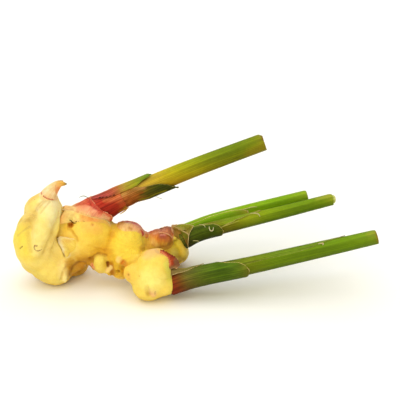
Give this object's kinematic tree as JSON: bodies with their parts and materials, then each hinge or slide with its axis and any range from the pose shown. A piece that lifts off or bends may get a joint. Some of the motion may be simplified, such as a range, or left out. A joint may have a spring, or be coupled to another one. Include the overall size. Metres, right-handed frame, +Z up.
{
  "type": "ginger root",
  "caption": "Fresh knobbly ginger rhizome lying on a surface, with cut green stems, leaf sheaths and papery scale leaves.",
  "frame": {"origin": "middle of the space that the part takes up, on the surface it lies on", "axes": "+X towards the cut ends of the stems, -Y the front, +Z up"},
  "size_m": [0.2366, 0.0672, 0.0949],
  "materials": {
    "rhizome_skin": "thin moist skin, semi-gloss",
    "upper_culm": "smooth, satin",
    "rear_culm": "smooth, satin",
    "green_culm": "smooth, satin",
    "green_sheath": "finely ribbed, satin",
    "red_sheath": "finely ribbed, satin",
    "pink_scale": "papery, pink to red, ribbed",
    "ring_scale": "papery, translucent, orange-pink",
    "pale_scale": "papery, cream",
    "membrane": "dry membrane, olive brown"
  },
  "bodies": {
    "root": {"rhizome": "rhizome_skin", "upper_stem": "upper_culm", "upper_stem_inner_sheath": "green_sheath", "upper_stem_base_sheath": "red_sheath", "upper_stem_outer_sheath": "green_sheath", "rear_stem": "rear_culm", "rear_stem_sheath": "green_sheath", "middle_stem": "green_culm", "middle_stem_inner_sheath": "green_sheath", "middle_stem_outer_sheath": "green_sheath", "front_stem": "green_culm", "front_stem_inner_sheath": "green_sheath", "front_stem_outer_sheath": "green_sheath", "front_stem_base_scale": "membrane", "left_bud_scale": "pale_scale", "ring_scale": "ring_scale", "upper_stem_collar_scale": "pink_scale", "third_knob_scale": "pink_scale", "rear_knob_scale": "pink_scale", "rear_knob_membrane": "membrane", "front_knob_scale": "pink_scale", "torn_scale": "pale_scale"}
  },
  "joints": []
}
